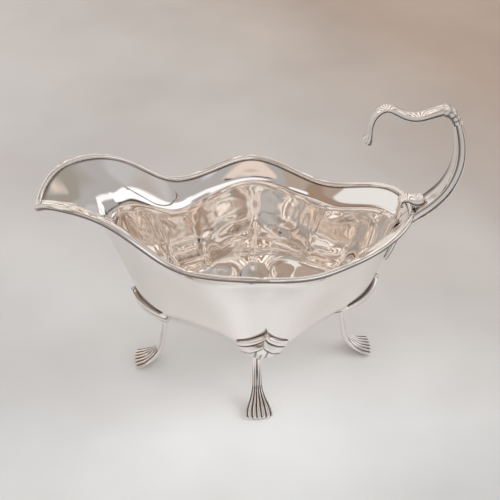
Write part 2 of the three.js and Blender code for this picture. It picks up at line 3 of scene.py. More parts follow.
import bpy
import numpy as np
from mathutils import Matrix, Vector


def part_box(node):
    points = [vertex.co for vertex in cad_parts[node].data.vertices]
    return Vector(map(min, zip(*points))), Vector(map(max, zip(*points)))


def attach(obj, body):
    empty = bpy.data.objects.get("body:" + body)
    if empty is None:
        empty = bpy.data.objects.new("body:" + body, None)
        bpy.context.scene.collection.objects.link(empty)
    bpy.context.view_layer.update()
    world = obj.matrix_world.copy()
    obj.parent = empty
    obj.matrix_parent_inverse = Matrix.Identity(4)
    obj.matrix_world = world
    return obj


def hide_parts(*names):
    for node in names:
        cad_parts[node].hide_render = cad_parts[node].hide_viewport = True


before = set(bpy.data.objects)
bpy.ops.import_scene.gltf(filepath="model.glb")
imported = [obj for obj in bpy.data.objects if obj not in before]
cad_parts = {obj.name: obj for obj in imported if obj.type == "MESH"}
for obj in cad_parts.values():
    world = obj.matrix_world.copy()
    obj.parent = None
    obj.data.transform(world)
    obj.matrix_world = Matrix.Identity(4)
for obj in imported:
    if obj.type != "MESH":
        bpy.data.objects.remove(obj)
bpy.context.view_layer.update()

# Sizes in millimetres in the boat's own frame: x is 0 midway between the end feet, z is 0 on the table.
MM = 0.001
WALL = 1.1
BOWL_MIDDLE_X = 3.0
FLOOR_HEIGHT = 25.0

# Plan of the bowl at four heights above its floor: reach to the front, to the back and to each side,
# how far it is pinched to a lozenge, and how sharp its corners are.
FLOOR = dict(front=31.0, back=28.0, side=18.0, pinch=0.06, corner=0.0, rise=0.4)
TURN = dict(front=48.3, back=35.0, side=30.0, pinch=0.228, corner=0.015, rise=7.5)
BASE = dict(front=53.3, back=49.7, side=32.9, pinch=0.128, corner=0.019, rise=14.2)
WALL_TOP = dict(front=66.0, back=60.5, side=36.2, pinch=0.1, corner=0.0)

# Rim from the spout tip to the handle: x, half width, height above the floor, drop to the wall top,
# the wall's direction in degrees, and the shares by which the flare's middle lies out and up.
RIM = np.array([
    [-92.1, 0.0, 71.4, 18.8, 0.0, 0.13, 0.52],
    [-88.5, 8.4, 76.9, 22.5, 6.0, 0.2, 0.5],
    [-79.6, 16.1, 81.2, 20.0, 12.5, 0.33, 0.5],
    [-66.0, 22.3, 79.9, 19.8, 21.0, 0.33, 0.5],
    [-50.0, 27.8, 70.1, 15.2, 32.0, 0.36, 0.46],
    [-35.0, 31.5, 59.3, 11.4, 48.0, 0.42, 0.48],
    [-17.0, 38.0, 58.6, 9.0, 71.0, 0.45, 0.48],
    [3.0, 43.3, 60.7, 7.8, 90.0, 0.46, 0.48],
    [20.0, 38.7, 56.5, 8.4, 107.0, 0.45, 0.48],
    [37.0, 29.3, 53.7, 6.8, 133.0, 0.44, 0.48],
    [54.0, 22.2, 57.5, 5.6, 155.0, 0.44, 0.48],
    [65.2, 12.4, 60.9, 7.6, 170.0, 0.42, 0.48],
    [69.2, 0.0, 60.7, 9.9, 180.0, 0.42, 0.48],
])
SIDE_ROW = 7
BACK_ROW = 12
WIRE_RADIUS = 1.3

# Painted shade under the rim wire, on the wire's lower half and on the bowl just beside it: its darkness,
# then where it lies, by the gap beside the wire and by the degrees round it. Here and below, what a pair
# bounds is none at its first value and full at its second.
WIRE_SHADE = 0.9
WIRE_SHADE_GAPS = (0.75, 0.25)
WIRE_SHADE_START = (-178, -164)
WIRE_SHADE_END = (24, 6)
WIRE_SHADE_STEP = 0.001

# Upright waves that the planishing left inside the bowl: depth, count round the bowl, lead. Then the
# levels over which they rise from the floor and fall away below the rim.
PLANISHING = [(0.11, 18, 0.6), (0.035, 31, 2.0)]
WAVES_RISE = (1.6, 2.6)
WAVES_FALL = (5.0, 4.4)

# Legs: how far each ankle stands inside the ridge of the base, then the sizes that all four share
FRONT_ANKLE_INSET = 8.7
BACK_ANKLE_INSET = 11.1
SIDE_ANKLE_INSET = 6.1
SIDE_ANKLE_SHIFT = 3.8
ANKLE_TO_TOE = 14.6
TOE_WIDTH = 13.0
TOE_MIDDLE_HEIGHT = 1.3
SHANK_WIDTH = 4.3
SHANK_DEPTH = 2.4
LEG_RUN_ON = 4.0
LEG_SINK = 0.3
TOE_ROUNDING = 1.0
TOE_CORNER = 0.8

# Ribs on the foot, with places along the leg as shares of its length. The toe's edge bows forward, and
# each rib ends in a bead.
FOOT_RIBS = 6
RIB_DEPTH = 0.6
RIB_GROOVE_SHAPE = 0.6
RIBS_START = (0.25, 0.6)
FOOT_EDGE = 0.3
FOOT_EDGE_TURN = 0.35
TOE_BOW_START = 0.8
TOE_BEAD = 0.7
TOE_BEAD_SHAPE = 0.7
TOE_BOW_BACK = 0.5

# Dark lines on a leg: tarnish with painted shade in the grooves, by their depth, and a painted line down
# the middle of the shank's top, by shares of its half width and of the leg's length
GROOVE_TARNISH_AND_SHADE_START = (0.2, 0.55)
KEEL_LINE_DARKNESS = 0.9
KEEL_EDGE = (0.2, 0.12)
KEEL_START = (0.05, 0.12)
KEEL_END = (0.62, 0.5)

# A leg from the bowl down to the toe: shares of the reach, of the height, of the shank's depth and of
# the spread from the shank's width to the toe's
LEG_PROFILE = np.array([
    [-0.014, 1.4, 1.0, 0.0],
    [0.0, 0.844, 1.0, 0.0],
    [0.034, 0.657, 1.0, 0.0],
    [0.103, 0.46, 1.15, 0.01],
    [0.233, 0.237, 1.5, 0.124],
    [0.466, 0.104, 1.75, 0.462],
    [0.699, 0.036, 1.41, 0.82],
    [1.0, 0.0, 1.08, 1.0],
])

# Knee plates: heights are above the floor of the bowl
PLATE_ARM = 11.2
PLATE_TOP = 23.6
PLATE_ARM_DROP = 9.0
PLATE_ARM_BOW = 0.62
PLATE_TAIL = 4.0
PLATE_TAIL_HALF_WIDTH = SHANK_WIDTH / 2
PLATE_TAIL_CURVE = 2.0
PLATE_TIP_HEIGHT = 3.5
PLATE_THICKNESS = 1.2
PLATE_BARS = 2
PLATE_BAR_HEIGHT = 3.4
PLATE_BAR_RELIEF = 1.4
PLATE_BAR_SHAPE = 0.55
PLATE_THINNING = 0.4
PLATE_BAR_THINNING = 0.6
PLATE_KNEE_START = (PLATE_BARS - 0.8, PLATE_BARS + 0.3)
PLATE_FLUTES = 2.5
PLATE_FLUTE_RELIEF = 0.35
# How dark a knee plate's flutes are: tarnish with painted shade
PLATE_FLUTE_TARNISH_AND_SHADE = 0.8
PLATE_EDGE_ROUNDING = 0.5
PLATE_SINK = 0.25
PLATE_TIP_ROUNDING = 0.05
PLATE_TIP_START = 0.02
SIDE_KNEE = 2.2
END_KNEE = 0.5

# Painted shade on a knee plate under its bars, by the bars' cosine, and along its top edge, by bars below
# it; tarnish with painted shade in its flutes, by the flutes' cosine
UNDER_BAR_LINE = (0.86, 0.98)
UNDER_LAST_BAR = 0.25
TOP_EDGE_LINE = (0.12, 0.0)
FLUTE_LINE = (0.6, 1.0)

# Handle, in the plane y = 0, from the back tip of the rim: along, up, depth, width
HANDLE_TAIL_LEVELS = (4.0, 4.5, 5.0, 5.6)
HANDLE_TAIL_DEPTHS = (1.8, 3.0, 3.8, 4.8)
HANDLE_TAIL_WIDTH = 5.2
HANDLE_TAIL_STAND_OFF = 0.4
HANDLE_SWEEP = [
    [7.8, 2.2, 6.3, 8.4],
    [11.2, 5.8, 6.0, 8.2],
    [14.2, 10.0, 5.8, 7.8],
    [16.6, 15.3, 5.6, 7.4],
    [18.1, 21.3, 5.5, 7.0],
    [18.5, 27.3, 5.4, 6.8],
    [17.8, 34.3, 5.0, 6.4],
    [16.4, 40.3, 4.5, 6.0],
    [15.2, 44.2, 4.2, 5.6],
]
KNUCKLE = [
    [14.9, 43.0, 4.6, 5.8],
    [13.9, 45.9, 4.9, 6.2],
    [12.3, 48.1, 5.0, 6.2],
    [10.3, 49.4, 4.8, 5.8],
    [8.4, 49.6, 4.4, 5.2],
]
KNUCKLE_RIBS = 4
KNUCKLE_RIB_DEPTH = 0.2
# How dark the knuckle is between its ribs: tarnish with painted shade
KNUCKLE_TARNISH_AND_SHADE = 5.0
FLYING_SCROLL = [
    [9.6, 50.0, 4.0, 4.6],
    [6.8, 49.2, 3.8, 4.6],
    [3.4, 48.1, 3.4, 4.6],
    [-0.2, 47.1, 3.1, 4.6],
    [-4.3, 47.2, 3.0, 4.6],
    [-8.2, 48.7, 2.8, 4.5],
    [-11.8, 50.8, 2.5, 4.4],
    [-15.1, 51.8, 2.0, 4.4],
    [-18.4, 49.9, 2.0, 4.3],
    [-20.1, 46.9, 2.0, 4.2],
    [-20.8, 43.3, 2.0, 4.0],
    [-20.9, 39.4, 2.2, 4.0],
    [-21.6, 36.9, 4.2, 5.0],
    [-22.4, 35.4, 4.8, 5.4],
]
RIM_LEAF = [
    [5.4, 5.2, 2.8, 5.4],
    [3.8, 4.0, 4.4, 5.6],
    [0.8, 4.0, 3.8, 5.6],
    [-1.6, 5.0, 2.4, 5.4],
    [-3.8, 5.0, 1.7, 5.2],
    [-5.1, 3.6, 1.5, 5.0],
    [-4.7, 2.0, 1.3, 4.6],
    [-3.4, 1.4, 1.1, 4.2],
]

# One side of a casting's section, from the handle's inner face over the flute to its outer face: in the
# plane of the handle, across, and darkness, which is tarnish with painted shade in the flute's sunk edges.
# On the far side the inner face's edge is painted dark too, as shade.
FLUTED_SIDE = [
    [1, 0, 0],
    [0.97, 0.35, 0],
    [0.88, 0.7, 0],
    [0.7, 1, 0.1],
    [0.56, 0.97, 0.6],
    [0.48, 0.82, 1],
    [0.38, 0.83, 1],
    [0.2, 0.83, 0.5],
    [0, 0.82, 0],
    [-0.2, 0.83, 0],
    [-0.38, 0.83, 0.2],
    [-0.48, 0.82, 1],
    [-0.56, 0.97, 0.1],
    [-0.7, 1, 0],
    [-0.88, 0.7, 0],
    [-0.97, 0.35, 0],
    [-1, 0, 0],
]
# Painted shade on the far side's inner edge, then the strength of all the castings' tarnish and painted
# shade
FAR_EDGE_SHADE = (0.7, 1, 1)
CASTING_TARNISH_AND_SHADE = 0.85

# The wall's rows between the base edge and the crease, as shares of its height
WALL_SHARES = (0.1, 0.5, 0.9)

# Levels up a column of the bowl: the floor's centre is 0, the base edge 3, the wall's top 5, the rim 7.
# The drawn rows start a little way out from the centre, and the knee plates lie above a level.
LEVEL_ROWS = (0, 1, 2, 3, 5, 7, 8, 9)
HUB_LEVEL = 0.06
PLATE_LOWEST_LEVEL = 1.5
BASE_LEVEL = 3.0
RIM_LEVEL = 7.0

# The fine grid of the bowl's underside round a leg: its reach in turns and its lowest level, with steps
UNDERSIDE_REACH = 0.08
UNDERSIDE_PLACE_STEP = 0.002
UNDERSIDE_LOWEST = 1.0
UNDERSIDE_LEVEL_STEP = 0.02

# How finely the pieces are drawn
COLUMNS = 384
FLOOR_ROWS = 40
WALL_ROWS = 70
WIRE_SIDES = 32
FLUTED_STEPS = 128
FOOT_STEPS = 144
LEG_RINGS = 70
PLATE_COLUMNS = 57
PLATE_ROWS = 60
ROUND_END_RINGS = 9
TOE_RINGS = 10
HALVINGS = 30

# Small steps for slopes: in turns round the rim or in levels, and in millimetres along a curve
RIM_NUDGE = 0.002
CURVE_NUDGE = 0.05

# How narrow a rounded end becomes at its tip, as the square of a share
ROUND_TIP = 1e-4

# The photograph's view: a pinhole camera in millimetres of the boat's own frame
CAMERA_ELEVATION = 40.0
CAMERA_AZIMUTH = -4.606
CAMERA_TARGET = (4.654, 78.276, 0.0)
CAMERA_DISTANCE = 594.0
FOCAL_PIXELS = 1100.0
IMAGE_PIXELS = 500.0
SENSOR_MM = 36.0


def bends(places, values, level_start=False):
    """Second derivatives of cubic curves through rows of values, for many curves at once: each has free
    ends, or starts level."""
    step = np.diff(places, axis=-1)[..., None]
    slope = np.diff(values, axis=-2) / step
    count = values.shape[-2]
    matrix = np.zeros((*values.shape[:-2], count, count))
    pull = np.zeros_like(values)
    matrix[..., 0, 0] = matrix[..., -1, -1] = 1
    if level_start:
        matrix[..., 0, 1] = 0.5
        pull[..., 0, :] = 3 * slope[..., 0, :] / step[..., 0, :]
    for i in range(1, count - 1):
        matrix[..., i, i - 1] = step[..., i - 1, 0]
        matrix[..., i, i] = 2 * (step[..., i - 1, 0] + step[..., i, 0])
        matrix[..., i, i + 1] = step[..., i, 0]
        pull[..., i, :] = 6 * (slope[..., i, :] - slope[..., i - 1, :])
    return np.linalg.solve(matrix, pull)


def on_curve(low, high, low_value, high_value, low_bend, high_bend, place):
    """The value at a place between two rows of a cubic curve."""
    step = high - low
    b = (place - low) / step
    a = 1 - b
    curve = ((a**3 - a) * low_bend + (b**3 - b) * high_bend) * step * step / 6
    return a * low_value + b * high_value + curve


class Spline:
    """A cubic curve through rows of values, with free ends; a closed one is run on past both ends."""

    def __init__(self, places, values, period=0.0):
        places = np.asarray(places, float)
        values = np.asarray(values, float).reshape(len(places), -1)
        self.start = places[0]
        self.period = period
        if period:
            places = np.concatenate([places - period, places, places + period, places[:1] + 2 * period])
            values = np.vstack([values, values, values, values[:1]])
        self.places = places
        self.values = values
        self.bend = bends(places, values)

    def __call__(self, place):
        place = np.atleast_1d(np.asarray(place, float))
        if self.period:
            place = self.start + (place - self.start) % self.period
        i = np.clip(np.searchsorted(self.places, place, side="right") - 1, 0, len(self.places) - 2)
        low, high = self.places[i][:, None], self.places[i + 1][:, None]
        return on_curve(
            low, high, self.values[i], self.values[i + 1], self.bend[i], self.bend[i + 1], place[:, None]
        )


def chord_lengths(points):
    """Lengths along rows of points, from 0 at the first."""
    steps = np.linalg.norm(np.diff(points, axis=-2), axis=-1)
    return np.concatenate([np.zeros((*steps.shape[:-1], 1)), np.cumsum(steps, axis=-1)], axis=-1)


def unit(vectors):
    """The same directions with a length of 1."""
    return vectors / np.linalg.norm(vectors, axis=-1, keepdims=True)


def smoothstep(low, high, value):
    """0 at the first value and 1 at the second, whichever is the larger, with a smooth step between."""
    t = np.clip((value - low) / (high - low), 0, 1)
    return t * t * (3 - 2 * t)


class Rim:
    """The rim as a closed loop, with one turn of the boat as 0 to 1."""

    def __init__(self):
        mirrored = RIM[1:-1][::-1].copy()
        mirrored[:, 1] *= -1
        mirrored[:, 4] = 360 - mirrored[:, 4]
        rows = np.vstack([RIM, mirrored])
        points = rows[:, :3] + [0, 0, FLOOR_HEIGHT]
        lengths = chord_lengths(np.vstack([points, points[:1]]))
        self.places = lengths[:-1] / lengths[-1]
        self.curve = Spline(self.places, np.column_stack([points, rows[:, 3], rows[:, 5:]]), period=1.0)
        self.lead = Spline(self.places, rows[:, 4] - 360 * self.places, period=1.0)

    def point(self, place):
        return self.curve(place)[:, :3]

    def wall_angle(self, place):
        """The angle in the bowl's plan, in radians, at which the wall runs down from a place."""
        return np.radians(360 * np.atleast_1d(place) + self.lead(place)[:, 0])

    def drop_out_up(self, place):
        """The drop to the wall's top, and the shares by which the flare's middle lies out and up."""
        return self.curve(place)[:, 3:]

    def tangent(self, place):
        return unit(self.point(place + RIM_NUDGE) - self.point(place - RIM_NUDGE))


rim = Rim()
FRONT_PLACE = 0.0
SIDE_PLACE = rim.places[SIDE_ROW]
BACK_PLACE = rim.places[BACK_ROW]


def plan_points(plan, angle, height):
    """Points of the bowl's plan at one height, one for each angle."""
    half = (plan["front"] + plan["back"]) / 2
    reach = half + (plan["front"] - half) * np.cos(angle)
    pinch, corner = plan["pinch"], plan["corner"]
    radius = (1 + pinch * np.cos(4 * angle) + corner * np.cos(8 * angle)) / (1 + pinch + corner)
    x = BOWL_MIDDLE_X - reach * radius * np.cos(angle)
    y = plan["side"] * radius * np.sin(angle)
    return np.column_stack([x, y, np.broadcast_to(height, x.shape)])


def bowl_columns(places):
    """The rows that each column of the bowl's middle skin runs through, from the floor's centre to the
    rim: the wall is straight from the base edge up to the crease."""
    angle = rim.wall_angle(places)
    edge = rim.point(places)
    drop, out, up = rim.drop_out_up(places).T
    plans = (FLOOR, TURN, BASE)
    floor, turn, base = (plan_points(plan, angle, FLOOR_HEIGHT + plan["rise"]) for plan in plans)
    wall_top = plan_points(WALL_TOP, angle, edge[:, 2] - drop)
    wall = [base + (wall_top - base) * share for share in WALL_SHARES]
    flare = wall_top + (edge - wall_top) * np.column_stack([out, out, up])
    middle = np.broadcast_to([BOWL_MIDDLE_X, 0, FLOOR_HEIGHT], base.shape)
    return np.stack([middle, floor, turn, base, *wall, wall_top, flare, edge], axis=1)


def bowl_points(places, levels):
    """Points of the bowl's middle skin, for arrays of places and levels of one shape."""
    places, levels = np.broadcast_arrays(np.asarray(places, float), np.asarray(levels, float))
    shape = places.shape
    unique, which = np.unique(np.round(places.ravel(), 9), return_inverse=True)
    rows = bowl_columns(unique)
    lengths = chord_lengths(rows)
    flat = bends(lengths, rows[..., :2])
    upright = bends(lengths, rows[..., 2:], level_start=True)
    bend = np.concatenate([flat, upright], axis=-1)
    level = levels.ravel()
    marks = lengths[:, LEVEL_ROWS][which]
    step = np.clip(level.astype(int), 0, len(LEVEL_ROWS) - 2)
    at = np.arange(len(level))
    length = marks[at, step] + (level - step) * (marks[at, step + 1] - marks[at, step])
    row = np.clip((lengths[which] <= length[:, None]).sum(1) - 1, 0, lengths.shape[1] - 2)
    low, high = (which, row), (which, row + 1)
    points = on_curve(
        lengths[low][:, None],
        lengths[high][:, None],
        rows[low],
        rows[high],
        bend[low],
        bend[high],
        length[:, None],
    )
    return points.reshape(*shape, 3)


def skin_points(places, levels, offset):
    """Points beside the bowl's middle skin: outside it for a positive offset."""
    places, levels, offset = np.broadcast_arrays(places, levels, offset)
    along = bowl_points(places + RIM_NUDGE, levels) - bowl_points(places - RIM_NUDGE, levels)
    up = bowl_points(places, levels + RIM_NUDGE) - bowl_points(places, levels - RIM_NUDGE)
    normal = np.cross(up, along)
    normal[levels < RIM_NUDGE] = [0, 0, -1]
    return bowl_points(places, levels) + unit(normal) * offset[..., None]


def levels_at_heights(places, heights):
    """The levels at which columns of the bowl reach some heights, found by halving."""
    low = np.full(np.shape(places), PLATE_LOWEST_LEVEL)
    high = np.full(np.shape(places), RIM_LEVEL)
    for _ in range(HALVINGS):
        middle = (low + high) / 2
        above = bowl_points(places, middle)[..., 2] > heights
        high = np.where(above, middle, high)
        low = np.where(above, low, middle)
    return (low + high) / 2


# Where the boat's own frame lies in the part's frame
boat_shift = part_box("rim_wire")[0].x / MM - (rim.point(FRONT_PLACE)[0][0] - WIRE_RADIUS)


def in_part_frame(points):
    """Millimetres of the boat's own frame as metres of the part's frame."""
    return (np.asarray(points, float) + [boat_shift, 0, 0]) * MM


def make_piece(name, points, faces, material, tarnish_and_shade):
    """A smooth mesh that stands for its CAD node and rides on the boat's one body. Each point has a
    darkness
    from 0 to 1: tarnished hollows, and painted shade in grooves, under edges and beneath the rim wire."""
    mesh = bpy.data.meshes.new(name)
    mesh.from_pydata([tuple(p) for p in in_part_frame(points)], [], facing_out(points, faces))
    mesh.validate()
    mesh.polygons.foreach_set("use_smooth", [True] * len(mesh.polygons))
    shade = mesh.attributes.new("tarnish_and_shade", "FLOAT", "POINT")
    shade.data.foreach_set("value", tarnish_and_shade)
    mesh.materials.append(material)
    mesh.update()
    piece = bpy.data.objects.new(name, mesh)
    bpy.context.scene.collection.objects.link(piece)
    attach(piece, "root")
    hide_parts(name)


def band(first, second, count):
    """Quads between two closed rows of points."""
    i = np.arange(count)
    j = (i + 1) % count
    return np.column_stack([first + i, second + i, second + j, first + j]).tolist()


def loft(rings, looped=False):
    """Points and faces of a solid through rings: closed on itself, or with a fan on each end."""
    rings = np.asarray(rings)
    ring_count, count = rings.shape[:2]
    points = rings.reshape(-1, 3)
    faces = []
    for r in range(ring_count - 1):
        faces += band(r * count, (r + 1) * count, count)
    if looped:
        return points, faces + band((ring_count - 1) * count, 0, count)
    points = np.vstack([points, rings[0].mean(0), rings[-1].mean(0)])
    hubs = (ring_count * count, ring_count * count + 1)
    last = (ring_count - 1) * count
    for i in range(count):
        j = (i + 1) % count
        faces.append([hubs[0], i, j])
        faces.append([hubs[1], last + j, last + i])
    return points, faces


def facing_out(points, faces):
    """The same faces, turned so that the closed mesh's volume is positive."""
    points = np.asarray(points)
    triangles = np.array([(f[0], f[k], f[k + 1]) for f in faces for k in range(1, len(f) - 1)])
    a, b, c = (points[triangles[:, k]] for k in range(3))
    volume = np.einsum("ij,ij->", a, np.cross(b, c))
    return faces if volume > 0 else [face[::-1] for face in faces]


def with_ends(tarnish_and_shade):
    """The darkness of a loft's points, tarnished hollows and painted shade, with clean hubs on its two
    ends.
    """
    return np.append(np.ravel(tarnish_and_shade), [0.0, 0.0])


def directions(curve, at):
    """The directions of a curve in its plane, at lengths along it."""
    return unit(curve(at + CURVE_NUDGE)[:, :2] - curve(at - CURVE_NUDGE)[:, :2])


def dome(gone, length):
    """How wide a rounded end is, as a share, at a distance from its tip."""
    return math.sqrt(max(ROUND_TIP, 1 - (1 - gone / length) ** 2)) if gone < length else 1.0


# Materials

# The colour of tarnished hollows and of painted shade in grooves, under edges and beneath the rim wire
TARNISH_AND_SHADE_COLOUR = (0.12, 0.085, 0.07)


def nodes_of(material):
    """A material's empty node tree, and a function that adds a node with its settings or inputs set."""
    material.use_nodes = True
    tree = material.node_tree
    tree.nodes.clear()

    def add(kind, **settings):
        node = tree.nodes.new(kind)
        for key, value in settings.items():
            if hasattr(node, key):
                setattr(node, key, value)
            else:
                node.inputs[key.replace("_", " ").title()].default_value = value
        return node

    return tree, add


def ramp(node, stops):
    """Sets the stops of a Color Ramp: (position, colour) pairs."""
    while len(node.color_ramp.elements) > len(stops):
        node.color_ramp.elements.remove(node.color_ramp.elements[-1])
    while len(node.color_ramp.elements) < len(stops):
        node.color_ramp.elements.new(1.0)
    for element, (position, colour) in zip(node.color_ramp.elements, stops):
        element.position = position
        element.color = (*colour, 1.0)


def silver(name, bright, dull, shine, wave):
    """Polished silver: a cloudy tint that is darkened at each point by its tarnished hollows and painted
    shade, fine polishing marks in the gloss between two values, and the hammer's faint waves, with their
    scale and their height."""
    material = bpy.data.materials.new(name)
    tree, add = nodes_of(material)
    link = tree.links.new
    place = add("ShaderNodeTexCoord")
    shader = add("ShaderNodeBsdfPrincipled", metallic=1.0)
    out = add("ShaderNodeOutputMaterial")
    link(shader.outputs["BSDF"], out.inputs["Surface"])

    def noise(scale, detail):
        node = add("ShaderNodeTexNoise", scale=scale, detail=detail)
        link(place.outputs["Object"], node.inputs["Vector"])
        return node.outputs["Fac"]

    tint = add("ShaderNodeValToRGB")
    ramp(tint, [(0.3, dull), (0.7, bright)])
    link(noise(scale=38.0, detail=3.0), tint.inputs["Fac"])
    # Each point's darkness, from tarnish in hollows and from painted shade
    grooves = add("ShaderNodeAttribute", attribute_name="tarnish_and_shade")
    darker = add("ShaderNodeMix", data_type="RGBA")
    link(grooves.outputs["Fac"], darker.inputs["Factor"])
    link(tint.outputs["Color"], darker.inputs["A"])
    darker.inputs["B"].default_value = (*TARNISH_AND_SHADE_COLOUR, 1.0)
    link(darker.outputs["Result"], shader.inputs["Base Color"])

    gloss = add("ShaderNodeMapRange", to_min=shine[0], to_max=shine[1])
    link(noise(scale=900.0, detail=4.0), gloss.inputs["Value"])
    link(gloss.outputs["Result"], shader.inputs["Roughness"])

    relief = add("ShaderNodeBump", strength=1.0, distance=wave[1])
    link(noise(scale=wave[0], detail=1.0), relief.inputs["Height"])
    link(relief.outputs["Normal"], shader.inputs["Normal"])
    return material


body_silver = silver(
    "body_silver", (0.955, 0.92, 0.89), (0.935, 0.895, 0.86), shine=(0.03, 0.07), wave=(55.0, 0.00004)
)
wire_silver = silver(
    "wire_silver", (0.955, 0.925, 0.9), (0.93, 0.895, 0.865), shine=(0.05, 0.1), wave=(160.0, 0.00002)
)
cast_silver = silver(
    "cast_silver", (0.955, 0.92, 0.89), (0.91, 0.87, 0.835), shine=(0.09, 0.17), wave=(260.0, 0.00004)
)


# The bowl with its spout, and the wire round its rim


def body_skin(offset):
    """Rows of points round the bowl, from a pole on its floor up into the rim wire. The inner skin, which
    has a negative offset, shows the planishing's waves."""
    levels = np.concatenate([
        np.linspace(HUB_LEVEL, BASE_LEVEL, FLOOR_ROWS, endpoint=False),
        np.linspace(BASE_LEVEL, RIM_LEVEL, WALL_ROWS),
    ])
    places = np.arange(COLUMNS) / COLUMNS
    pole = skin_points(0.0, 0.0, offset)
    if offset < 0:
        turns = 2 * np.pi * places
        wave = sum(depth * np.sin(count * turns + lead) for depth, count, lead in PLANISHING)
        upright = smoothstep(*WAVES_RISE, levels) * smoothstep(*WAVES_FALL, levels)
        offset = offset + upright[:, None] * wave[None, :]
    return pole, skin_points(places[None, :], levels[:, None], offset)


def wire_shade_on_bowl(points):
    """The painted shade beside the rim wire, for points of the bowl."""
    start, full = (WIRE_RADIUS + gap for gap in WIRE_SHADE_GAPS)
    wire = rim.point(np.arange(0, 1, WIRE_SHADE_STEP))
    high = points[:, 2] > wire[:, 2].min() - start
    gaps = np.full(len(points), np.inf)
    gaps[high] = np.linalg.norm(points[high, None] - wire[None], axis=2).min(axis=1)
    return WIRE_SHADE * smoothstep(start, full, gaps)


def build_body():
    """The bowl and spout: an outer and an inner skin, joined inside the rim wire."""
    points = []
    faces = []
    ends = []
    for offset in (WALL / 2, -WALL / 2):
        pole, rows = body_skin(offset)
        start = len(points)
        points.append(pole)
        points.extend(rows.reshape(-1, 3))
        skin = [[start, start + 1 + i, start + 1 + (i + 1) % COLUMNS] for i in range(COLUMNS)]
        for r in range(len(rows) - 1):
            skin += band(start + 1 + r * COLUMNS, start + 1 + (r + 1) * COLUMNS, COLUMNS)
        if offset < 0:
            skin = [face[::-1] for face in skin]
        faces += skin
        ends.append(start + 1 + (len(rows) - 1) * COLUMNS)
    faces += band(ends[0], ends[1], COLUMNS)
    points = np.array(points)
    # The bowl is painted dark just beside the rim wire, as shade under the wire
    make_piece("body", points, faces, body_silver, wire_shade_on_bowl(points))


def build_rim_wire():
    """The round wire along the rim, with painted shade on its lower half."""
    turns = 2 * np.pi * np.arange(WIRE_SIDES) / WIRE_SIDES
    places = np.arange(COLUMNS) / COLUMNS
    tangent = rim.tangent(places)
    side = unit(np.cross([0, 0, 1], tangent))
    up = np.cross(tangent, side)
    turn = np.cos(turns)[None, :, None] * side[:, None] + np.sin(turns)[None, :, None] * up[:, None]
    rings = rim.point(places)[:, None] + WIRE_RADIUS * turn
    points, faces = loft(rings, looped=True)
    degrees = (np.degrees(turns) + 180) % 360 - 180
    # The wire's lower half is painted dark, as shade beneath it
    wire_underside_shade = WIRE_SHADE * smoothstep(*WIRE_SHADE_START, degrees) * smoothstep(*WIRE_SHADE_END, degrees)
    make_piece("rim_wire", points, faces, wire_silver, np.tile(wire_underside_shade, COLUMNS))


# Castings swept in the plane of the handle


def fluted_section():
    """A cast section with a flat flute down each side, sunk between its raised edges: in the plane of the
    handle, then across, then its darkness, from tarnished hollows and painted shade."""
    whole = np.array(FLUTED_SIDE + [[p, -q, dark] for p, q, dark in FLUTED_SIDE[-2:0:-1]])
    whole[1:4, 2] = FAR_EDGE_SHADE
    lengths = chord_lengths(np.vstack([whole, whole[:1]])[:, :2])
    curve = Spline(lengths[:-1], whole, period=lengths[-1])
    section = curve(np.linspace(0, lengths[-1], FLUTED_STEPS, endpoint=False))
    section[:, 2] = np.clip(section[:, 2], 0, 1)
    return section


def sweep(stations, section, ring_count, round_ends, swell=None):
    """Rings of a section along a curve in the plane y = 0, with its two ends rounded off over a length
    each, and the darkness of their points, from tarnished hollows and painted shade."""
    stations = np.asarray(stations, float)
    lengths = chord_lengths(stations[:, :2])
    curve = Spline(lengths, stations)
    total = lengths[-1]
    close = 1 - np.cos(np.linspace(0.08, np.pi / 2, ROUND_END_RINGS))
    at = np.union1d(np.linspace(0, total, ring_count), round_ends[0] * close)
    at = np.union1d(at, total - round_ends[1] * close)
    rings = []
    tarnish_and_shade = []
    for place, along, (x, z, depth, width) in zip(at, directions(curve, at), curve(at)):
        size = 1.0 if swell is None else swell(place / total)
        # The knuckle darkens where it narrows between its ribs: tarnish with painted shade
        tarnish_and_shade.append(np.maximum(section[:, 2], (1 - size) * KNUCKLE_TARNISH_AND_SHADE))
        size *= dome(place, round_ends[0]) * dome(total - place, round_ends[1])
        p = section[:, 0] * depth / 2 * size
        q = section[:, 1] * width / 2 * size
        rings.append(np.column_stack([x - along[1] * p, q, z + along[0] * p]))
    return rings, with_ends(tarnish_and_shade)


back_tip = rim.point(BACK_PLACE)[0]


def from_back_tip(rows):
    """Rows of a casting, moved from the rim's back tip to the boat's own frame."""
    return np.asarray(rows) + [back_tip[0], back_tip[2], 0, 0]


def stem_stations():
    """Rows of the stem, whose tail lies on the back of the bowl."""
    tail = []
    for level, depth in zip(HANDLE_TAIL_LEVELS, HANDLE_TAIL_DEPTHS):
        point = skin_points(BACK_PLACE, level, WALL / 2 + depth * HANDLE_TAIL_STAND_OFF)
        tail.append([point[0], point[2], depth, HANDLE_TAIL_WIDTH])
    return np.vstack([tail, from_back_tip(HANDLE_SWEEP)])


def knuckle_ribs(share):
    """How wide the knuckle is at a share of its length, as a share of its full width."""
    return 1 - KNUCKLE_RIB_DEPTH * (1 - abs(math.sin(math.pi * KNUCKLE_RIBS * share)) ** 0.5)


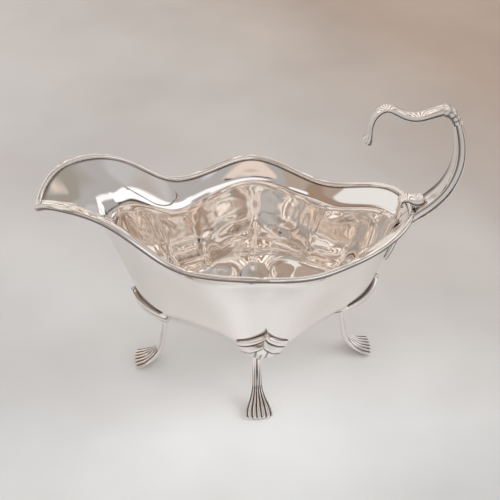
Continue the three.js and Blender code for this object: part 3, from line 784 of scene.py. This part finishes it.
def build_handle():
    """The handle's three castings and the rim leaf: stations, rings, rounded ends in mm, and ribs."""
    section = fluted_section()
    castings = [
        ("handle_stem", stem_stations(), 120, (2.0, 0.6), None),
        ("handle_knuckle", from_back_tip(KNUCKLE), 60, (0.6, 0.6), knuckle_ribs),
        ("handle_flying_scroll", from_back_tip(FLYING_SCROLL), 140, (0.5, 1.2), None),
        ("rim_leaf", from_back_tip(RIM_LEAF), 70, (1.0, 1.2), None),
    ]
    for name, stations, ring_count, round_ends, swell in castings:
        rings, tarnish_and_shade = sweep(stations, section, ring_count, round_ends, swell)
        points, faces = loft(rings)
        make_piece(name, points, faces, cast_silver, tarnish_and_shade * CASTING_TARNISH_AND_SHADE)


# Legs and their knee plates


def rib_crests(across):
    """1 along the crests of the foot's ribs and 0 in the grooves between them."""
    return np.abs(np.cos(np.pi * FOOT_RIBS * (across + 1) / 2))


def foot_section(ribbing):
    """Ribs across the top of the foot and a smooth underside: depth, then across, then the grooves."""
    turn = 2 * np.pi * np.arange(FOOT_STEPS) / FOOT_STEPS
    across = np.cos(turn)
    over = np.sin(turn)
    groove = 1 - rib_crests(across) ** RIB_GROOVE_SHAPE
    crown = FOOT_EDGE * smoothstep(0, FOOT_EDGE_TURN, over) + (1 - FOOT_EDGE) * over
    top = crown * (1 - ribbing * groove)
    return np.column_stack([np.where(over > 0, top, over), across, np.where(over > 0, groove, 0)])


def leg_rings(top_height):
    """Rings of one leg in the plane y = 0, with its ankle at x = 0 and its toe towards +X, and the
    darkness of their points: tarnished hollows and painted shade in the grooves of the foot, and a painted
    dark line down the middle of the shank's top."""
    x = ANKLE_TO_TOE * LEG_PROFILE[:, 0]
    z = TOE_MIDDLE_HEIGHT + (top_height - TOE_MIDDLE_HEIGHT) * LEG_PROFILE[:, 1]
    depth = SHANK_DEPTH * LEG_PROFILE[:, 2]
    width = SHANK_WIDTH + (TOE_WIDTH - SHANK_WIDTH) * LEG_PROFILE[:, 3]
    lengths = chord_lengths(np.column_stack([x, z]))
    curve = Spline(lengths, np.column_stack([x, z, depth, width]))
    total = lengths[-1]
    shank = np.linspace(0, total - TOE_ROUNDING, LEG_RINGS, endpoint=False)
    toe = total - TOE_ROUNDING * (1 - np.cos(np.linspace(np.pi / 2, 0.06, TOE_RINGS)))
    at = np.concatenate([shank, toe])
    rings = []
    tarnish_and_shade = []
    for place, along, (middle_x, middle_z, d, w) in zip(at, directions(curve, at), curve(at)):
        share = place / total
        ribbed = smoothstep(*RIBS_START, share)
        up, across, groove = foot_section(RIB_DEPTH * ribbed).T
        # Tarnish with painted shade in the foot's grooves, and a painted dark line down the shank's top
        in_grooves = ribbed * smoothstep(*GROOVE_TARNISH_AND_SHADE_START, groove)
        keel = smoothstep(*KEEL_EDGE, np.abs(across)) * (up > 0)
        keel *= KEEL_LINE_DARKNESS * smoothstep(*KEEL_START, share) * smoothstep(*KEEL_END, share)
        tarnish_and_shade.append(np.maximum(in_grooves, keel))
        size = dome(total - place, TOE_ROUNDING)
        bead = TOE_BEAD * rib_crests(across) ** TOE_BEAD_SHAPE
        forward = smoothstep(TOE_BOW_START, 1, share) * (1 - across**2 + bead - TOE_BOW_BACK)
        p = up * d / 2 * size
        q = across * (w / 2 - (1 - size) * TOE_CORNER)
        rings.append(np.column_stack([
            middle_x - along[1] * p + forward * along[0],
            q,
            np.maximum(middle_z + along[0] * p + forward * along[1], 0.0),
        ]))
    return np.array(rings), with_ends(tarnish_and_shade)


# The four legs: where on the rim's turn each stands, its direction in radians, how far its ankle lies
# inside the base's edge (inset) and to the front (shift), how far its knee plate's foot leans after it, and
# how far the plate's knee stands out
END_STAND = dict(shift=0.0, lean=0.0, knee=END_KNEE)
SIDE_STAND = dict(inset=SIDE_ANKLE_INSET, shift=SIDE_ANKLE_SHIFT, knee=SIDE_KNEE)
STANDS = {
    "front": dict(ridge=FRONT_PLACE, direction=math.pi, inset=FRONT_ANKLE_INSET, **END_STAND),
    "back": dict(ridge=BACK_PLACE, direction=0.0, inset=BACK_ANKLE_INSET, **END_STAND),
    "left": dict(ridge=SIDE_PLACE, direction=math.pi / 2, lean=-SIDE_ANKLE_SHIFT, **SIDE_STAND),
    "right": dict(ridge=1 - SIDE_PLACE, direction=-math.pi / 2, lean=SIDE_ANKLE_SHIFT, **SIDE_STAND),
}


def underside_heights(points, ridge):
    """The height of the bowl's outer skin above points near a ridge, from the nearest of a fine grid."""
    places = ridge + np.arange(-UNDERSIDE_REACH, UNDERSIDE_REACH, UNDERSIDE_PLACE_STEP)
    levels = np.arange(UNDERSIDE_LOWEST, BASE_LEVEL, UNDERSIDE_LEVEL_STEP)
    skin = skin_points(places[:, None], levels[None, :], WALL / 2).reshape(-1, 3)
    gaps = np.linalg.norm(skin[None, :, :2] - points[:, None, :2], axis=2)
    return skin[gaps.argmin(axis=1), 2]


def build_leg(side, stand):
    """A leg turned to its side, with its foot on the table and its top cut to the bowl's underside."""
    rings, tarnish_and_shade = leg_rings(FLOOR_HEIGHT + LEG_RUN_ON)
    cos, sin = math.cos(stand["direction"]), math.sin(stand["direction"])
    turned = np.stack([
        rings[..., 0] * cos - rings[..., 1] * sin,
        rings[..., 0] * sin + rings[..., 1] * cos,
        rings[..., 2],
    ], axis=-1)
    edge = bowl_points(stand["ridge"], BASE_LEVEL)
    foot = np.array([edge[0] - stand["inset"] * cos - stand["shift"], edge[1] - stand["inset"] * sin, 0])
    points, faces = loft(turned + foot)
    high = points[:, 2] > FLOOR_HEIGHT
    underside = underside_heights(points[high], stand["ridge"])
    points[high, 2] = np.minimum(points[high, 2], underside + LEG_SINK)
    make_piece(f"leg_{side}", points, faces, cast_silver, tarnish_and_shade)


def plate_relief(away, below, across, knee):
    """How far a knee plate stands out: two round bars under its top edge, then a fluted knee."""
    is_bar = (below >= 0) & (below < PLATE_BARS)
    bars = PLATE_BAR_RELIEF * np.where(is_bar, np.abs(np.sin(np.pi * below)), 0) ** PLATE_BAR_SHAPE
    flutes = PLATE_FLUTE_RELIEF * (0.5 + 0.5 * np.cos(2 * np.pi * across * PLATE_FLUTES))
    lower = smoothstep(*PLATE_KNEE_START, below) * (knee + flutes)
    plate = (PLATE_THICKNESS + lower) * (1 - PLATE_THINNING * away)
    return plate + bars * (1 - PLATE_BAR_THINNING * away)


def plate_tarnish_and_shade(below, across):
    """Painted shade along a knee plate's top edge and under each of its bars, and tarnished hollows with
    painted shade in the flutes of its knee, for places in bars below the top and in arms across."""
    under_bars = smoothstep(*UNDER_BAR_LINE, np.abs(np.cos(np.pi * below)))
    under_bars *= (below > 0.5) * (below < PLATE_BARS + UNDER_LAST_BAR)
    top_edge = smoothstep(*TOP_EDGE_LINE, below)
    flutes = smoothstep(*FLUTE_LINE, -np.cos(2 * np.pi * PLATE_FLUTES * across)) * (below > PLATE_BARS)
    return np.maximum(np.maximum(under_bars, top_edge), PLATE_FLUTE_TARNISH_AND_SHADE * flutes)


def build_plate(side, stand):
    """A knee plate on the bowl's outer skin: two curved arms beside the ridge, over a tail on the leg."""
    distance = np.linspace(-PLATE_ARM, PLATE_ARM, PLATE_COLUMNS)[:, None]
    share = np.linspace(0, 1, PLATE_ROWS)[None, :]
    away = np.abs(distance) / PLATE_ARM
    top = PLATE_TOP - PLATE_ARM_DROP * away**PLATE_ARM_BOW
    tip = PLATE_TOP - PLATE_ARM_DROP - PLATE_TIP_HEIGHT
    along = np.clip((np.abs(distance) - PLATE_TAIL_HALF_WIDTH) / (PLATE_ARM - PLATE_TAIL_HALF_WIDTH), 0, 1)
    bottom = PLATE_TAIL + (tip - PLATE_TAIL) * along**PLATE_TAIL_CURVE
    heights = bottom + (top - bottom) * share
    lean = stand["lean"] * (PLATE_TOP - heights) / (PLATE_TOP - PLATE_TAIL)

    ridge = stand["ridge"]
    step = bowl_points(ridge + RIM_NUDGE, BASE_LEVEL) - bowl_points(ridge - RIM_NUDGE, BASE_LEVEL)
    places = ridge + (distance + lean) * 2 * RIM_NUDGE / np.linalg.norm(step)
    levels = levels_at_heights(places, FLOOR_HEIGHT + heights)

    below = (top - heights) / PLATE_BAR_HEIGHT
    across = distance / PLATE_ARM
    relief = plate_relief(away, below, across, stand["knee"])
    edge = np.minimum(heights - bottom, top - heights)
    relief *= np.sqrt(np.clip(edge / PLATE_EDGE_ROUNDING, 0, 1))
    relief *= np.sqrt(np.clip((1 - away) / PLATE_TIP_ROUNDING + PLATE_TIP_START, 0, 1))
    outer = skin_points(places, levels, WALL / 2 + relief)
    inner = skin_points(places, levels, WALL / 2 - PLATE_SINK)
    points, faces = loft(np.concatenate([outer, inner[:, ::-1]], axis=1))
    # Painted shade under the bars and along the top edge, tarnish with painted shade in the flutes
    dark = plate_tarnish_and_shade(below, across)
    tarnish_and_shade = with_ends(np.concatenate([dark, np.zeros(dark.shape)], axis=1))
    make_piece(f"knee_plate_{side}", points, faces, cast_silver, tarnish_and_shade)


# Studio

TABLE_HALF_SIZE = 8.0

# How far the cloth's darker, warmer side of painted light falloff leans: along X for each metre of Y
CLOTH_SLANT = 0.6

# The room that the silver shows, as bearings in degrees: azimuth 0 is the camera's side and 90 is the
# handle's end. First its colours by elevation, then patches, each over the ones before it: the pale ones
# are windows and walls, the dark ones are doorways and furniture.
ROOM_HEIGHTS = [
    (-90, (0.5, 0.47, 0.44)),
    (0, (0.1, 0.08, 0.07)),
    (6, (0.14, 0.11, 0.09)),
    (9, (0.5, 0.42, 0.36)),
    (58, (0.42, 0.33, 0.27)),
    (66, (0.36, 0.285, 0.235)),
    (90, (0.4, 0.33, 0.28)),
]
ROOM_PATCHES = [
    dict(azimuths=(78, 300), elevations=(62, 84), colour=(1.2, 1.14, 1.08), blur=2, stripes=24),
    dict(azimuths=(-150, -60), elevations=(60, 76), colour=(0.46, 0.36, 0.3), blur=6),
    dict(azimuths=(-72, -44), elevations=(10, 44), colour=(0.36, 0.26, 0.2), blur=5),
    dict(azimuths=(-135, -74), elevations=(24, 60), colour=(0.84, 0.83, 0.81), blur=5),
    dict(azimuths=(-92, -68), elevations=(16, 24), colour=(0.95, 0.92, 0.9), blur=3),
    dict(azimuths=(-60, -2), elevations=(5, 15), colour=(0.16, 0.13, 0.12), blur=6),
    dict(azimuths=(-48, -20), elevations=(17, 28), colour=(1.0, 1.0, 1.02), blur=3),
    dict(azimuths=(0, 8), elevations=(5, 28), colour=(0.3, 0.21, 0.17), blur=3),
    dict(azimuths=(-10, 126), elevations=(22, 68), colour=(0.45, 0.435, 0.435), blur=10),
    dict(azimuths=(-20, 32), elevations=(62, 84), colour=(0.37, 0.33, 0.29), blur=10),
    dict(azimuths=(84, 126), elevations=(16, 48), colour=(0.54, 0.535, 0.54), blur=10),
    dict(azimuths=(18, 56), elevations=(50, 74), colour=(0.36, 0.33, 0.29), blur=12),
    dict(azimuths=(8, 40), elevations=(5, 31), colour=(1.05, 1.05, 1.06), blur=3),
    dict(azimuths=(38, 62), elevations=(20, 31), colour=(1.05, 1.05, 1.06), blur=4),
    dict(azimuths=(38, 62), elevations=(2, 18), colour=(0.42, 0.41, 0.42), blur=4),
    dict(azimuths=(56, 114), elevations=(-2, 19), colour=(1.15, 1.15, 1.18), blur=3, slant=-0.45),
    dict(azimuths=(9, 30), elevations=(44, 59), colour=(0.8, 0.68, 0.6), blur=6),
    dict(azimuths=(13, 19), elevations=(40, 44), colour=(0.1, 0.05, 0.04), blur=2),
    dict(azimuths=(130, 230), elevations=(10, 62), colour=(0.4, 0.3, 0.24), blur=4),
    dict(azimuths=(130, 230), elevations=(14, 62), colour=(1.2, 1.14, 1.08), blur=1, stripes=13),
    dict(azimuths=(-180, 180), elevations=(82, 98), colour=(0.95, 0.92, 0.88), blur=4),
    dict(azimuths=(110, 250), elevations=(-4, 17), colour=(0.64, 0.61, 0.59), blur=3),
]

STRIPE_CONTRAST = 3.0

# The light on the cloth: plain all round, with more of it from one window
PLAIN_LIGHT = (0.87, 0.87, 0.87)
WINDOW = dict(azimuths=(60, 115), elevations=(22, 50), blur=3)
WINDOW_LIGHT = (3.4, 3.4, 3.4)
BACKDROP = (0.62, 0.585, 0.56)


def build_stage():
    """The table under its cloth, whose colour carries painted light: paler in the middle, where it lifts
    the boat's shadow, brightest just in front of the boat, darker and warmer towards the back and the
    right, and faintly mottled with painted shade, as of soft fold lines.
    """
    size = TABLE_HALF_SIZE
    mesh = bpy.data.meshes.new("table")
    corners = [(-size, -size, 0), (size, -size, 0), (size, size, 0), (-size, size, 0)]
    mesh.from_pydata(corners, [], [(0, 1, 2, 3)])
    cloth = bpy.data.materials.new("table_cloth")
    tree, add = nodes_of(cloth)
    out = add("ShaderNodeOutputMaterial")
    shader = add("ShaderNodeBsdfPrincipled", roughness=0.9)
    shader.inputs["Specular IOR Level"].default_value = 0.1
    place = add("ShaderNodeTexCoord")
    split = add("ShaderNodeSeparateXYZ")
    tree.links.new(place.outputs["Object"], split.inputs[0])

    def gradient(value, stops):
        """A tint that changes along a value in metres, through stops of places and colours."""
        share = add("ShaderNodeMapRange")
        share.inputs["From Min"].default_value = stops[0][0]
        share.inputs["From Max"].default_value = stops[-1][0]
        tree.links.new(value, share.inputs["Value"])
        tint = add("ShaderNodeValToRGB")
        span = stops[-1][0] - stops[0][0]
        ramp(tint, [((at - stops[0][0]) / span, colour) for at, colour in stops])
        tree.links.new(share.outputs["Result"], tint.inputs["Fac"])
        return tint.outputs["Color"]

    def multiplied(first, second):
        mix = add("ShaderNodeMix", data_type="RGBA", blend_type="MULTIPLY")
        mix.inputs["Factor"].default_value = 1.0
        tree.links.new(first, mix.inputs["A"])
        tree.links.new(second, mix.inputs["B"])
        return mix.outputs["Result"]

    # Faint mottling painted as the shade of soft fold lines in the cloth
    fold_shade_noise = add("ShaderNodeTexNoise", scale=9.0, detail=3.0)
    tree.links.new(place.outputs["Object"], fold_shade_noise.inputs["Vector"])
    painted_fold_shade = add("ShaderNodeValToRGB")
    ramp(painted_fold_shade, [(0.35, (0.9, 0.885, 0.88)), (0.5, (0.97, 0.965, 0.96)), (0.65, (1.03, 1.03, 1.03))])
    tree.links.new(fold_shade_noise.outputs["Fac"], painted_fold_shade.inputs["Fac"])
    slanted = add("ShaderNodeMath", operation="MULTIPLY_ADD")
    tree.links.new(split.outputs["Y"], slanted.inputs[0])
    slanted.inputs[1].default_value = CLOTH_SLANT
    tree.links.new(split.outputs["X"], slanted.inputs[2])
    reach = add("ShaderNodeVectorMath", operation="LENGTH")
    tree.links.new(place.outputs["Object"], reach.inputs[0])
    # Painted light along Y: brightest just in front of the boat and dimmer nearer the camera and behind
    painted_light_along_y = gradient(split.outputs["Y"], [
        (-0.17, (0.58, 0.57, 0.565)),
        (-0.12, (0.7, 0.69, 0.685)),
        (-0.09, (0.69, 0.685, 0.68)),
        (-0.05, (0.73, 0.725, 0.72)),
        (0.01, (0.65, 0.635, 0.62)),
        (0.1, (0.61, 0.58, 0.56)),
        (0.3, (0.62, 0.58, 0.55)),
    ])
    # Painted light falloff: darker and warmer towards the back and the right
    wide = gradient(slanted.outputs[0], [
        (-0.06, (1.0, 1.0, 1.0)),
        (0.02, (0.9, 0.9, 0.9)),
        (0.17, (0.88, 0.85, 0.825)),
        (0.32, (0.7, 0.585, 0.51)),
    ])
    # Painted light, paler near the boat, that lifts the shadow under it
    painted_light_under_boat = gradient(reach.outputs["Value"], [
        (0.04, (1.28, 1.28, 1.28)),
        (0.08, (1.16, 1.16, 1.16)),
        (0.12, (1.04, 1.04, 1.04)),
        (0.18, (1.0, 1.0, 1.0)),
    ])
    colour = multiplied(multiplied(painted_light_along_y, wide), multiplied(painted_light_under_boat, painted_fold_shade.outputs["Color"]))
    tree.links.new(colour, shader.inputs["Base Color"])
    tree.links.new(shader.outputs["BSDF"], out.inputs["Surface"])
    mesh.materials.append(cloth)
    table = bpy.data.objects.new("table", mesh)
    bpy.context.scene.collection.objects.link(table)


class Room:
    """The room round the table as a colour for each direction, painted in the world's shader."""

    def __init__(self, world):
        world.use_nodes = True
        self.tree = world.node_tree
        self.tree.nodes.clear()
        place = self.tree.nodes.new("ShaderNodeTexCoord")
        turn = self.tree.nodes.new("ShaderNodeVectorMath")
        turn.operation = "NORMALIZE"
        self.tree.links.new(place.outputs["Generated"], turn.inputs[0])
        self.direction = turn.outputs["Vector"]
        self.azimuth, self.elevation = self.bearings()
        self.colour = None

    def math(self, operation, first, second=0.0, third=0.0, clamp=False):
        """The output of a Math node whose inputs are numbers or other outputs."""
        node = self.tree.nodes.new("ShaderNodeMath")
        node.operation = operation
        node.use_clamp = clamp
        for socket, value in zip(node.inputs, (first, second, third)):
            if isinstance(value, (int, float)):
                socket.default_value = value
            else:
                self.tree.links.new(value, socket)
        return node.outputs[0]

    def bearings(self):
        """Azimuth in degrees, 0 on the camera's side and 90 at the handle, and elevation in degrees."""
        split = self.tree.nodes.new("ShaderNodeSeparateXYZ")
        self.tree.links.new(self.direction, split.inputs[0])
        x, y, z = split.outputs
        azimuth = self.math("ARCTAN2", x, self.math("MULTIPLY", y, -1.0))
        return self.math("DEGREES", azimuth), self.math("DEGREES", self.math("ARCSINE", z))

    def heights(self, stops):
        """Colours by elevation in degrees, from -90 to 90."""
        share = self.math("MULTIPLY_ADD", self.elevation, 1 / 180, 0.5)
        node = self.tree.nodes.new("ShaderNodeValToRGB")
        ramp(node, [(elevation / 180 + 0.5, colour) for elevation, colour in stops])
        self.tree.links.new(share, node.inputs["Fac"])
        self.colour = node.outputs["Color"]

    def between(self, value, low, high, blur):
        """1 between two values and 0 outside them, over a soft edge."""
        offset = self.math("ABSOLUTE", self.math("SUBTRACT", value, (low + high) / 2))
        return self.math("DIVIDE", self.math("SUBTRACT", (high - low + blur) / 2, offset), blur, clamp=True)

    def mask(self, azimuths, elevations, blur, slant=0.0, stripes=0.0):
        """1 between two azimuths and two elevations, all in degrees. The upper and lower edges climb by
        the slant for each degree of azimuth, and stripes have that period."""
        middle = (azimuths[0] + azimuths[1]) / 2
        offset = self.math("SUBTRACT", self.azimuth, middle)
        offset = self.math("WRAP", offset, 180.0, -180.0)
        half = (azimuths[1] - azimuths[0]) / 2
        share = self.between(offset, -half, half, blur)
        level = self.math("MULTIPLY_ADD", offset, -slant, self.elevation)
        share = self.math("MULTIPLY", share, self.between(level, *elevations, blur))
        if stripes:
            wave = self.math("SINE", self.math("MULTIPLY", offset, 2 * math.pi / stripes))
            stripe = self.math("MULTIPLY_ADD", wave, STRIPE_CONTRAST, 0.5, clamp=True)
            share = self.math("MULTIPLY", share, stripe)
        return share

    def patch(self, colour, **shape):
        """A patch of one colour in the room."""
        self.colour = self.where(self.mask(**shape), self.colour, colour)

    def where(self, share, colour, other):
        """One colour where the share is 0 and the other where it is 1."""
        mix = self.tree.nodes.new("ShaderNodeMix")
        mix.data_type = "RGBA"
        mix.clamp_result = False
        self.tree.links.new(share, mix.inputs["Factor"])
        for socket, value in ((mix.inputs["A"], colour), (mix.inputs["B"], other)):
            if isinstance(value, tuple):
                socket.default_value = (*value, 1)
            else:
                self.tree.links.new(value, socket)
        return mix.outputs["Result"]

    def finish(self):
        """The silver shows the painted room, the camera sees the backdrop, and the plain light and its
        window fall on the cloth."""
        path = self.tree.nodes.new("ShaderNodeLightPath")
        light_on_cloth = self.where(self.mask(**WINDOW), PLAIN_LIGHT, WINDOW_LIGHT)
        colour = self.where(path.outputs["Is Glossy Ray"], light_on_cloth, self.colour)
        colour = self.where(path.outputs["Is Camera Ray"], colour, BACKDROP)
        light = self.tree.nodes.new("ShaderNodeBackground")
        self.tree.links.new(colour, light.inputs["Color"])
        out = self.tree.nodes.new("ShaderNodeOutputWorld")
        self.tree.links.new(light.outputs["Background"], out.inputs["Surface"])


def build_world():
    """The world, which lights the cloth and is what the silver reflects."""
    world = bpy.data.worlds.new("studio")
    bpy.context.scene.world = world
    room = Room(world)
    room.heights(ROOM_HEIGHTS)
    for patch in ROOM_PATCHES:
        room.patch(**patch)
    room.finish()


def build_camera():
    """The photograph's camera, which looks at its target from the distance that was fitted."""
    azimuth, elevation = math.radians(CAMERA_AZIMUTH), math.radians(CAMERA_ELEVATION)
    back = Vector((
        math.sin(azimuth) * math.cos(elevation),
        -math.cos(azimuth) * math.cos(elevation),
        math.sin(elevation),
    ))
    data = bpy.data.cameras.new("photo_view")
    data.sensor_width = SENSOR_MM
    data.lens = FOCAL_PIXELS / IMAGE_PIXELS * SENSOR_MM
    camera = bpy.data.objects.new("photo_view", data)
    camera.location = Vector(in_part_frame(CAMERA_TARGET)) + back * CAMERA_DISTANCE * MM
    camera.rotation_euler = (-back).to_track_quat("-Z", "Y").to_euler()
    data.clip_start = 0.01
    data.clip_end = 20.0
    bpy.context.scene.collection.objects.link(camera)
    bpy.context.scene.camera = camera


build_camera()
build_body()
build_rim_wire()
build_handle()
for stand_name, stand_facts in STANDS.items():
    build_leg(stand_name, stand_facts)
    build_plate(stand_name, stand_facts)
build_stage()
build_world()
bpy.context.scene.view_settings.view_transform = "Standard"
